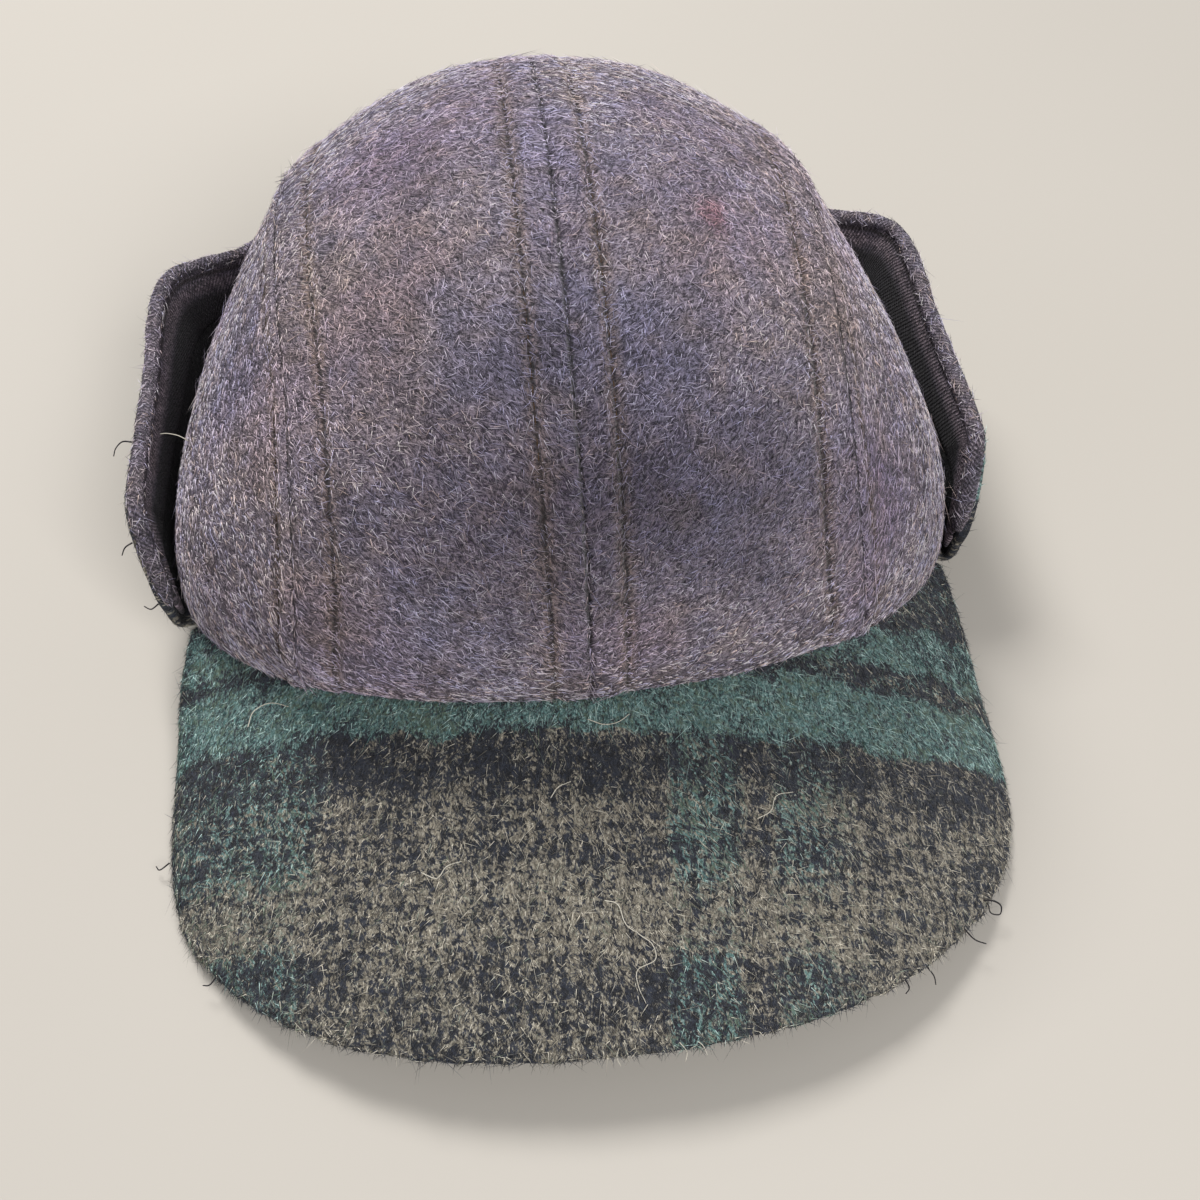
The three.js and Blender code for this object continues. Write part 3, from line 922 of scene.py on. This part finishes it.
# %% Rolled edge
ROLL_RADIUS = 1.85 * MM
ROLL_OUT = 0.5 * MM
ROLL_DOWN = 0.5 * MM
RIB_HEIGHT = 0.12 * MM
ROLL_STEP = 3
ROLL_LENGTH_STEP = 0.35 * MM
ROLL_EVERY = 4
ROLL_PAST_END = 1.5
ROLL_TAPER = 20
ROLL_END = 0.4
PUFF_SIZE = 5 * MM
PUFF_HEIGHT = 0.25 * MM


def cord_piece(name, cords, round_steps, material):
    """Closed round cords as one mesh. Each has its points and its radii, in metres."""
    curve = bpy.data.curves.new(name, "CURVE")
    curve.dimensions = "3D"
    curve.bevel_depth = 1.0
    curve.bevel_resolution = round_steps
    curve.use_fill_caps = True
    for line, radii in cords:
        spline = curve.splines.new("POLY")
        spline.points.add(len(line) - 1)
        spline.points.foreach_set("co", np.column_stack([line, np.ones(len(line))]).ravel())
        spline.points.foreach_set("radius", radii)
    made = bpy.data.objects.new(name, curve)
    bpy.context.scene.collection.objects.link(made)
    only(made)
    bpy.ops.object.convert(target="MESH")
    made = bpy.context.view_layer.objects.active
    in_edit_mode(
        made,
        (bpy.ops.mesh.remove_doubles, {"threshold": 0.0001 * MM}),
        (bpy.ops.mesh.normals_make_consistent, {"inside": False}),
    )
    bpy.ops.object.shade_smooth()
    return dress(made, material)


roll_path = edge_line + away_from_cap(edge_line) * ROLL_OUT + np.array([0, 0, -ROLL_DOWN])
roll_path = roll_path[::ROLL_EVERY]
first_end = roll_path[0] + (roll_path[0] - roll_path[1]) * ROLL_PAST_END
last_end = roll_path[-1] + (roll_path[-1] - roll_path[-2]) * ROLL_PAST_END
roll_line = smooth_line(np.vstack([first_end, roll_path, last_end]), ROLL_LENGTH_STEP)
from_end = np.minimum(np.arange(len(roll_line)), np.arange(len(roll_line))[::-1])
roll_radii = ROLL_RADIUS * np.clip(ROLL_END + from_end / ROLL_TAPER, ROLL_END, 1)
roll = cord_piece("flap_rolled_edge", [(roll_line, roll_radii)], ROLL_STEP, trim_wool)
roll_tree = tree_of(roll_line)
roll_points = points_of(roll)
_, roll_along = place_on(roll_line, roll_tree, roll_points)
roll_off = roll_points - np.array([roll_tree.find(p)[0][:] for p in roll_points])
roll_turn = np.arctan2(roll_off[:, 2], dot(roll_off, unit(roll_points - CAP_MIDDLE)))
roll_across = roll_turn * ROLL_RADIUS / MM
ribs = np.cos(((roll_along + roll_across * RIB_SLANT) / RIB_PITCH) * 2 * math.pi) * -RIB_HEIGHT
puffs = lumps(roll_points, PUFF_SIZE, 5.0) * PUFF_HEIGHT
set_points(roll, roll_points + normals_of(roll) * (ribs + puffs)[:, None])
keep(roll, "cloth", np.column_stack([roll_across, roll_along, np.zeros(len(roll_points))]))
print("rolled edge", len(roll.data.polygons), "faces")

# %% [markdown]
# ## Small things laid by the thousand
# A stitch and a hair are each modelled once: a thin cylinder or cone, cut across so that it can bend. The
# helper below lays copies of such a model. Each copy starts at its own place, runs in its own direction
# and bends by its own amount, and all copies become one mesh, because thousands of objects would be slow.

# %% The models of a stitch and of two hairs
STITCH_SIDES = 6


def model_of(name, cuts):
    """Cuts the selected primitive across at each height, and takes it away as points and triangles."""
    made = bpy.context.active_object
    steps = [(bpy.ops.mesh.bisect, {"plane_co": (0, 0, cut), "plane_no": (0, 0, 1)}) for cut in cuts]
    steps.append((bpy.ops.mesh.quads_convert_to_tris, {}))
    in_edit_mode(made, *steps)
    made.data.calc_loop_triangles()
    points = points_of(made) + np.array(made.location)
    faces = read(made.data.loop_triangles, "vertices", 3, np.int32)
    bpy.data.objects.remove(made)
    print(name, "has", len(points), "points and", len(faces), "triangles")
    return points, faces


bpy.ops.object.select_all(action="DESELECT")
bpy.ops.mesh.primitive_cylinder_add(vertices=STITCH_SIDES, radius=1, depth=1, location=(0, 0, 0.5))
stitch_model = model_of("a stitch", [-0.3, -0.1, 0.1, 0.3])
ends = 1 - 0.5 * abs(stitch_model[0][:, 2:] * 2 - 1) ** 3
stitch_model[0][:, :2] *= ends
bpy.ops.mesh.primitive_cone_add(vertices=3, radius1=1, radius2=0, depth=1, location=(0, 0, 0.5))
short_hair = model_of("a short hair", [])
bpy.ops.mesh.primitive_cone_add(vertices=3, radius1=1, radius2=0, depth=1, location=(0, 0, 0.5))
long_hair = model_of("a long hair", [0.05])
long_hair[0][:, :2] *= np.where(abs(long_hair[0][:, 2:] - 0.55) < 0.1, 1.9, 1.0)


def lay(model, starts, aheads, ups, lengths, radius, swing=0.0, climb=0.0, fall=0.0):
    """Points and faces of copies of a model that bend sideways by swing, and rise by climb and fall."""
    shape, faces = model
    t = shape[None, :, 2:]
    lengths = np.broadcast_to(lengths, len(starts))[:, None, None]
    swing, climb, fall = (np.broadcast_to(v, len(starts))[:, None, None] for v in (swing, climb, fall))
    ahead = aheads[:, None]
    up = ups[:, None]
    side = np.cross(ups, aheads)[:, None]
    centre = starts[:, None] + (ahead * t + side * swing * t**2 + up * (climb * t - fall * t**2)) * lengths
    points = centre + (side * shape[None, :, :1] + up * shape[None, :, 1:2]) * radius
    count = len(shape)
    offset = np.arange(len(starts))[:, None, None] * count
    return points.reshape(-1, 3), (faces[None] + offset).reshape(-1, 3), count


def piece_of_copies(name, batches, material):
    points = above_floor(np.vstack([b[0] for b in batches]))
    shift = np.cumsum([0] + [len(b[0]) for b in batches[:-1]])
    faces = np.vstack([b[1] + s for b, s in zip(batches, shift)])
    mesh = bpy.data.meshes.new(name)
    mesh.from_pydata(points, [], faces)
    piece = new_piece(name, mesh, material)
    only(piece)
    bpy.ops.object.shade_smooth()
    return piece


# %% [markdown]
# ## Topstitching
# The crown is topstitched with a dark brown thread on both sides of every seam. Each stitch dives into
# the cloth at both ends. A row keeps one distance from its seam, so its stitches are laid on those
# points of the cloth that have this distance, at the height of the cloth there.

# %% Stitches
STITCH_PITCH = 3.2
STITCH_LENGTH = 2.6 * MM
THREAD_RADIUS = 0.12 * MM
ROW_REACH = 1.6


def thread_finish(name, dark, light):
    """Twisted thread, mottled between two tones."""
    finish = Finish(name)
    grain = finish.noise(finish.node("ShaderNodeTexCoord", output="Object"), 1500, 2.0)
    return finish.wool(finish.mix(grain, dark, light), 0.8, 0.1)


thread_wool = thread_finish("stitching_thread", tint(38, 27, 22), tint(98, 76, 56))


def stitch_row(piece, seam, row, column):
    """Place, direction and normal of each stitch on the row beside a seam."""
    points = points_of(piece)
    normals = normals_of(piece)
    outside = facing_out(points, normals) > 0
    off_row = read(piece.data.attributes["rows"].data, "vector", 3)[:, column]
    near = np.flatnonzero(outside & (abs(off_row) < ROW_REACH))
    tree = tree_of(points[near])
    line = seam_lines[seam]
    laid = []
    step = round(STITCH_PITCH * MM / LINE_STEP)
    for index in range(step, len(line) - step, step):
        ahead = unit(line[index + 2] - line[index - 2])
        up = unit(normals[near[tree.find(line[index])[1]]])
        side = unit(np.cross(up, ahead))
        guesses = [line[index] + side * turn * row * MM for turn in (-1, 1)]
        turn = int(np.argmin([tree.find(g)[2] for g in guesses])) * 2 - 1
        _, found, gap = tree.find(line[index] + side * turn * row * MM)
        if gap < ROW_REACH * MM:
            spot = points[near[found]] - side * turn * off_row[near[found]] * MM
            laid.append((spot, ahead, unit(normals[near[found]])))
    return laid


stitches = []
for side_name in SIDES:
    strip = crown["strip", side_name]
    stitches += stitch_row(strip, f"centre_{side_name}", CENTRE_ROW, 0)
    stitches += stitch_row(strip, f"side_{side_name}", SIDE_ROW, 1)
    stitches += stitch_row(crown["side", side_name], f"side_{side_name}", OUTER_ROW, 1)
spots, aheads, ups = (np.array(column) for column in zip(*stitches))
sides = unit(np.cross(ups, aheads))
aheads = unit(np.cross(sides, ups))
starts = spots - aheads * STITCH_LENGTH / 2 - ups * 0.1 * MM
batch = lay(stitch_model, starts, aheads, ups, STITCH_LENGTH, THREAD_RADIUS, 0.0, 0.45, 0.45)
piece_of_copies("crown_topstitching", [batch], thread_wool)
print(len(stitches), "stitches")

# %% [markdown]
# ## Loose fibres
# Brushing lifts fine hairs out of the cloth, and they soften every outline and give the wool its sparkle
# of light and dark strokes. A hair system can't be exported, so the hairs are real: very thin cones, the
# short ones straight and the long ones bent, laid at random places of the cloth and along its nap.

# %% Fibre finishes
HAIR_TONES = [
    (0.0, tint(26, 21, 31)),
    (0.22, tint(70, 60, 76)),
    (0.36, tint(150, 136, 152)),
    (0.55, tint(206, 192, 206)),
    (0.78, tint(240, 228, 238)),
    (1.0, tint(255, 250, 246)),
]
mauve_hair = Finish("mauve_fibres")
hair_spot = mauve_hair.attribute("spot")
hair_tone, hair_cast, _ = mauve_hair.parts(mauve_hair.attribute("tone"))
hair_colour = mauve_hair.ramp(hair_tone, HAIR_TONES)
hair_colour = mauve_hair.mix(hair_cast.rise(0.8, 0.82) * 0.6, hair_colour, BLUE_CAST, "COLOR")
hair_colour = mauve_hair.mix(hair_cast.rise(0.14, 0.12) * 0.7, hair_colour, TAN_CAST, "COLOR")
hair_colour = patched(mauve_hair, hair_spot, hair_colour)
mauve_fibres = mauve_hair.wool(hair_colour, 0.9)


# %% Laying fibres on a piece
rng = np.random.default_rng(20)
HAIR_KINDS = [
    # model, least length and what chance adds to it in mm, radius, how much it may rise
    (short_hair, 1.1, 2.0, 0.1 * MM, 0.28),
    (long_hair, 2.2, 4.0, 0.065 * MM, 0.6),
]
# Pale hairs start higher than dark ones, so they cross over them.
PALE_LIFT = 0.1 * MM
SUNK_ROOT = 0.05 * MM
SWING = 0.45


def scatter(piece, count, allowed):
    """Random places on a piece, spread evenly by area where allowed, and their normals."""
    piece.data.calc_loop_triangles()
    corners = read(piece.data.loop_triangles, "vertices", 3, np.int32)
    trio = points_of(piece)[corners]
    trio_normals = normals_of(piece)[corners]
    area = np.linalg.norm(np.cross(trio[:, 1] - trio[:, 0], trio[:, 2] - trio[:, 0]), axis=1)
    area = area * allowed(trio.mean(axis=1), unit(trio_normals.mean(axis=1)))
    chosen = rng.choice(len(area), count, p=area / area.sum())
    share = rng.random((count, 2))
    share = np.where(share.sum(axis=1, keepdims=True) > 1, 1 - share, share)
    weights = np.column_stack([1 - share.sum(axis=1), share])[:, :, None]
    return (trio[chosen] * weights).sum(axis=1), unit((trio_normals[chosen] * weights).sum(axis=1))


def fibres(piece, name, counts, flow_at, allowed, spread, material, slot, spot_at):
    """Short and long hairs on a piece. flow_at gives the nap, and spread how much it scatters."""
    batches = []
    roots = []
    tones = []
    for count, (model, least, more, radius, lift) in zip(counts, HAIR_KINDS):
        spots, ups = scatter(piece, count, allowed)
        flow = flow_at(spots)
        lie = unit(flow - ups * dot(flow, ups)[:, None])
        side = np.cross(ups, lie)
        turn = rng.normal(0, spread, count)[:, None]
        lie = lie * np.cos(turn) + side * np.sin(turn)
        lengths = (least + rng.random(count) ** 2 * more) * MM
        climb = 0.04 + rng.random(count) ** 2 * lift
        swing = rng.normal(0, SWING, count)
        tone = rng.random((count, 3))
        starts = spots + ups * (tone[:, :1] * PALE_LIFT - SUNK_ROOT)
        batches.append(lay(model, starts, lie, ups, lengths, radius, swing, climb, climb * 0.5))
        roots.append(np.repeat(spots, batches[-1][2], axis=0))
        tones.append(np.repeat(tone, batches[-1][2], axis=0))
    hair = piece_of_copies(name, batches, material)
    keep(hair, "spot", spot_at(np.vstack(roots)))
    keep(hair, "tone", np.vstack(tones))
    print(name, len(hair.data.polygons), "triangles")


# %% Fibres of each piece
# How many short and long hairs each piece has
CROWN_HAIRS = {"strip": (27000, 2400), "side": (21500, 1800)}
PEAK_HAIRS = (27000, 2600)
EDGE_HAIRS = (3600, 60)
FLAP_HAIRS = (9000, 700)
ROLL_HAIRS = (3000, 300)
CROWN_SPREAD = 0.75
PEAK_SPREAD = 0.55
EDGE_SPREAD = 0.9
EDGE_BELOW = 22 * MM


def at_front_edge(middle, normal):
    return (dot(normal, away_from_cap(middle)) > 0.55) * (middle[:, 2] < EDGE_BELOW) * 1.0


def outer_faces(middle, normal):
    return (facing_out(middle, normal) > 0.02 * MM).astype(float)


def not_under(middle, normal):
    return (normal[:, 2] > -0.35).astype(float)


def crown_flow(side_name):
    inward = -SIDES[side_name] * 0.85
    return lambda spots: np.tile([inward, -1.0, -0.2], (len(spots), 1))


def peak_flow(spots):
    return np.column_stack([spots[:, 0] / (60 * MM), -np.ones(len(spots)), np.zeros(len(spots))])


def round_flow(spots):
    return np.column_stack([-spots[:, 1], spots[:, 0], np.full(len(spots), 0.02)])


for (kind, side_name), piece in crown.items():
    fibres(
        piece, f"crown_{kind}_{side_name}_fibres", CROWN_HAIRS[kind],
        crown_flow(side_name), outer_faces, CROWN_SPREAD, mauve_fibres, "wool_mauve", in_millimetres,
    )
PLAID = (plaid_fibres, "wool_plaid")
MAUVE = (mauve_fibres, "wool_mauve")
for piece, name, counts, flow_at, allowed, spread, look, spot_at in (
    (peak, "peak_fibres", PEAK_HAIRS, peak_flow, not_under, PEAK_SPREAD, PLAID, in_millimetres),
    (peak, "peak_edge_fibres", EDGE_HAIRS, away_from_cap, at_front_edge, EDGE_SPREAD, PLAID, in_millimetres),
    (ear_flap, "ear_flap_fibres", FLAP_HAIRS, round_flow, outer_faces, EDGE_SPREAD, PLAID, plaid_on_flap),
    (roll, "rolled_edge_fibres", ROLL_HAIRS, round_flow, not_under, EDGE_SPREAD, MAUVE, in_millimetres),
):
    fibres(piece, name, counts, flow_at, allowed, spread, *look, spot_at)

# %% [markdown]
# ## Loose threads
# A worn edge sheds a few threads: pale ones curl on the peak, and dark ends stick out at its corner and
# from the flap. Each is a thin cord through a few points. Those that lie on the cloth are brought down to
# its finished surface first, and then lifted to the top of the nap.

# %% Loose threads
PALE_RADIUS = 0.11
DARK_RADIUS = 0.2
NAP_HEIGHT = 0.55 * MM
THREAD_STEP = 0.35 * MM
LYING = [
    # points in millimetres along each pale thread on the peak
    [(-1.6, -101.5, 23.5), (0.9, -102.5, 23.2), (1.9, -106, 22.2), (4.4, -108.2, 21.5), (6.5, -110.2, 20.9),
     (6.7, -112.9, 20.1), (3.3, -114.3, 19.7), (3, -116.9, 18.9), (4.1, -120.1, 17.8)],
    [(-71.1, -52, 18.4), (-69.8, -48.9, 19.6), (-66.1, -48.5, 21.5), (-62, -50.8, 22.9)],
    [(-9.8, -81.1, 28.3), (-8.2, -79.2, 28.8), (-5.6, -78.3, 29)],
    [(-1, -66, 31.6), (2, -67.5, 31.9), (5, -67.3, 31.9), (7.5, -65.8, 32.3)],
    [(-36, -92, 24), (-33, -93.5, 24), (-31, -91.5, 24.5), (-28, -91, 25)],
    [(30, -88, 24), (33, -86.5, 24), (34.5, -83.5, 24), (38, -83, 24)],
]
PALE_ENDS = [
    # points in millimetres along each pale end that stands out
    [(-1.5, -126.4, 14.5), (-2.2, -128, 13.6), (-1.6, -129.4, 12.4)],
    [(9.6, -126.8, 14.3), (10.8, -128.4, 13.4), (10.4, -129.8, 12.2)],
    [(11.9, -126.2, 14.5), (13.8, -127.6, 13.8), (14.6, -129.2, 12.6)],
    [(-79, -0.7, 52.6), (-81, -0.2, 54.2), (-83.5, 0.6, 54.4), (-85.2, 1.4, 53.6)],
]
DARK_ENDS = [
    # points in millimetres along each dark end or loop
    [(76, -101.8, 6), (78.2, -102, 5.6), (79.6, -103, 5.1), (79, -104.6, 4.7), (77.2, -104.2, 4.9),
     (77, -102.6, 5.4)],
    [(59.8, -114.6, 9), (61.4, -117, 8), (61.6, -118.6, 7.2)],
    [(54.8, -117, 10), (55.8, -119.2, 9), (55, -120.2, 8.4)],
    [(70, -107.4, 7), (72, -109.8, 6), (74.4, -110.6, 5)],
    [(-90, -73.6, 3), (-92, -74.8, 2.6), (-93, -73.6, 2)],
    [(-78, -100, 5), (-79.8, -101.8, 4.2), (-81.4, -101.4, 3.2)],
    [(-94.8, 10.4, 42.8), (-96.6, 9.9, 43.6), (-98, 8.4, 43.2), (-98.6, 7, 42.2)],
    [(-94, -14, 37), (-95.6, -14.9, 36.6), (-96.4, -16.2, 35.6)],
    [(-91.6, -20, 22.6), (-93.2, -21, 22.2), (-94.6, -20.6, 23)],
]


def thread_cord(path, radius):
    """A smooth thread that tapers at its free end."""
    line = smooth_line(np.array(path, dtype=float) * MM, THREAD_STEP)
    return line, radius * MM * np.linspace(1, 0.6, len(line))


def laid_on(piece, path, radius):
    """Brings a thread down onto a piece, at the top of its nap."""
    line, radii = thread_cord(path, radius)
    points = points_of(piece)
    tree = tree_of(points)
    nearest = [tree.find(p)[1] for p in line]
    normals = normals_of(piece)[nearest]
    off = dot(line - points[nearest], normals)[:, None]
    return line + normals * (NAP_HEIGHT - off), radii


pale_cords = [laid_on(peak, path, PALE_RADIUS) for path in LYING]
pale_cords += [thread_cord(path, PALE_RADIUS) for path in PALE_ENDS]
dark_cords = [thread_cord(path, DARK_RADIUS) for path in DARK_ENDS]
pale_finish = thread_finish("pale_thread", tint(176, 168, 150), tint(232, 226, 212))
dark_finish = thread_finish("dark_thread", tint(22, 22, 26), tint(62, 58, 60))
cord_piece("pale_loose_threads", pale_cords, 1, pale_finish)
cord_piece("dark_loose_threads", dark_cords, 1, dark_finish)
print(len(pale_cords) + len(dark_cords), "loose threads")

# %% [markdown]
# ## The table and the light
# The cap lies on a pale floor under soft light from above and behind, as near a window. One large lamp
# gives the broad light and the soft shadow under the peak, a weaker one opens the shadows in front, and
# a pale world lights the rest.

# %% Floor and lights
bpy.ops.object.select_all(action="DESELECT")
bpy.ops.mesh.primitive_plane_add(size=6.0, location=(0, 0, 0))
floor = bpy.context.active_object
floor.name = "floor"
floor_finish = Finish("pale_floor")
floor_noise = floor_finish.noise(floor_finish.node("ShaderNodeTexCoord", output="Object"), 3.0)
floor_colour = floor_finish.mix(floor_noise, tint(188, 181, 171), tint(196, 190, 181))
floor_finish.wool(floor_colour, 0.7, 0.0)
floor.data.materials.append(floor_finish.material)


def lamp(name, place, size, power, aim):
    data = bpy.data.lights.new(name, "AREA")
    data.energy = power
    data.size = size
    made = bpy.data.objects.new(name, data)
    bpy.context.scene.collection.objects.link(made)
    made.location = place
    made.rotation_euler = (Vector(place) - Vector(aim)).to_track_quat("Z", "Y").to_euler()


LAMPS_AIM = (0, 0, 0.03)
lamp("window", (-0.35, 0.75, 1.15), 0.5, 17, LAMPS_AIM)
lamp("room", (0.45, -0.9, 1.0), 0.6, 12.5, LAMPS_AIM)
world = bpy.data.worlds.new("pale_room")
world.use_nodes = True
world.node_tree.nodes["Background"].inputs["Color"].default_value = (0.92, 0.95, 1.0, 1)
world.node_tree.nodes["Background"].inputs["Strength"].default_value = 0.28
bpy.context.scene.world = world
bpy.context.scene.view_settings.view_transform = "Standard"

added = [o for o in bpy.data.objects if o.type == "MESH" and o is not floor and o.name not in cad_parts]
print("triangles added:", sum(len(p.vertices) - 2 for o in added for p in o.data.polygons))
